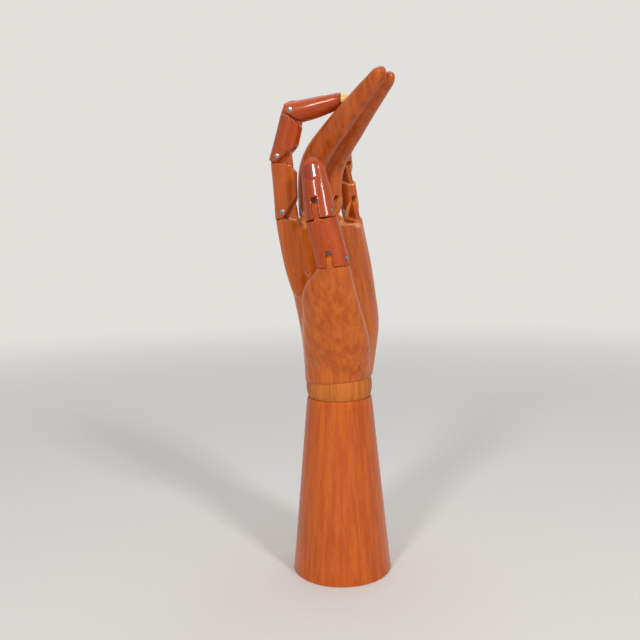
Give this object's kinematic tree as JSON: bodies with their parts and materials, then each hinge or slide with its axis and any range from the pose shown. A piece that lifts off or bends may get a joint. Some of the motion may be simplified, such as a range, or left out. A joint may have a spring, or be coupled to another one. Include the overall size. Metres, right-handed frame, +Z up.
{
  "type": "jointed wooden hand mannequin",
  "caption": "Jointed wooden left hand on a turned cone stand, held by a sprung ball wrist; hinged fingers and thumb, with the middle and ring fingers carved in one piece.",
  "frame": {"origin": "middle of the flat foot of the stand, where it rests on the table", "axes": "+Z up through the stand and the hand; -Y is the side that the palm faces; -X is the side of the thumb and the index finger"},
  "size_m": [0.076, 0.0932, 0.2968],
  "materials": {
    "stand_wood": "varnished",
    "hand_wood": "varnished",
    "red_wood": "varnished",
    "ball_wood": "waxed",
    "steel_pin": "drawn wire",
    "spring_wire": "spring steel"
  },
  "bodies": {
    "base": {"base": "stand_wood", "base_spring_pin": "steel_pin"},
    "wrist_ball": {"wrist_ball": "ball_wood"},
    "wrist_spring": {"wrist_spring": "spring_wire"},
    "palm": {"palm": "hand_wood", "palm_spring_pin": "steel_pin"},
    "middle_ring_pair": {"middle_ring_pair": "hand_wood", "middle_ring_pair_pin": "steel_pin"},
    "index_proximal": {"index_proximal": "red_wood", "index_proximal_pin": "steel_pin"},
    "index_middle": {"index_middle": "red_wood", "index_middle_pin": "steel_pin"},
    "index_distal": {"index_distal": "red_wood", "index_distal_pin": "steel_pin"},
    "little_proximal": {"little_proximal": "hand_wood", "little_proximal_pin": "steel_pin"},
    "little_middle": {"little_middle": "hand_wood", "little_middle_pin": "steel_pin"},
    "little_distal": {"little_distal": "hand_wood", "little_distal_pin": "steel_pin"},
    "thumb_proximal": {"thumb_proximal": "red_wood", "thumb_proximal_pin": "steel_pin"},
    "thumb_distal": {"thumb_distal": "red_wood", "thumb_distal_pin": "steel_pin"}
  },
  "joints": [
    {"name": "wrist_turn", "type": "hinge", "parent": "base", "child": "wrist_ball", "pos_m": [0, 0, 0.11825], "axis": [0, 0, 1], "range_deg": [-90, 90], "deforming": ["wrist_spring"]},
    {"name": "wrist_tilt", "type": "hinge", "parent": "wrist_ball", "child": "wrist_spring", "pos_m": [0, 0, 0.11825], "axis": [0, 1, 0], "range_deg": [-15, 15], "deforming": ["wrist_spring"]},
    {"name": "wrist_bend", "type": "hinge", "parent": "wrist_spring", "child": "palm", "pos_m": [0, 0, 0.11825], "axis": [1, 0, 0], "range_deg": [-15, 15], "deforming": ["wrist_spring"]},
    {"name": "index_knuckle", "type": "hinge", "parent": "palm", "child": "index_proximal", "pos_m": [-0.03604, 0.00396, 0.22438], "axis": [0.8187, 0.5739, 0.0172], "range_deg": [-9, 0]},
    {"name": "index_middle_joint", "type": "hinge", "parent": "index_proximal", "child": "index_middle", "pos_m": [-0.03784, 0.00559, 0.25609], "axis": [0.8187, 0.5739, 0.0172], "range_deg": [-22, 0]},
    {"name": "index_end_joint", "type": "hinge", "parent": "index_middle", "child": "index_distal", "pos_m": [-0.03331, -0.00163, 0.28149], "axis": [0.8187, 0.5739, 0.0172], "range_deg": [-64, 0]},
    {"name": "pair_knuckle", "type": "hinge", "parent": "palm", "child": "middle_ring_pair", "pos_m": [-0.0108, 0.00212, 0.22634], "axis": [0.9974, 0.002, 0.0717], "range_deg": [0, 75]},
    {"name": "little_knuckle", "type": "hinge", "parent": "palm", "child": "little_proximal", "pos_m": [0.01372, 0.0024, 0.22648], "axis": [0.9812, -0.0802, 0.1755], "range_deg": [0, 75]},
    {"name": "little_middle_joint", "type": "hinge", "parent": "little_proximal", "child": "little_middle", "pos_m": [0.00988, 0.00481, 0.24903], "axis": [0.9812, -0.0802, 0.1755], "range_deg": [-15, 65]},
    {"name": "little_end_joint", "type": "hinge", "parent": "little_middle", "child": "little_distal", "pos_m": [0.00616, 0.0017, 0.26843], "axis": [0.9812, -0.0802, 0.1755], "range_deg": [-18, 45]},
    {"name": "thumb_knuckle", "type": "hinge", "parent": "palm", "child": "thumb_proximal", "pos_m": [-0.03357, -0.03437, 0.19638], "axis": [0.4975, -0.8638, 0.0797], "range_deg": [-22, 0]},
    {"name": "thumb_end_joint", "type": "hinge", "parent": "thumb_proximal", "child": "thumb_distal", "pos_m": [-0.03821, -0.02933, 0.22192], "axis": [0.4861, -0.8556, 0.1781], "range_deg": [-38, 8]}
  ]
}
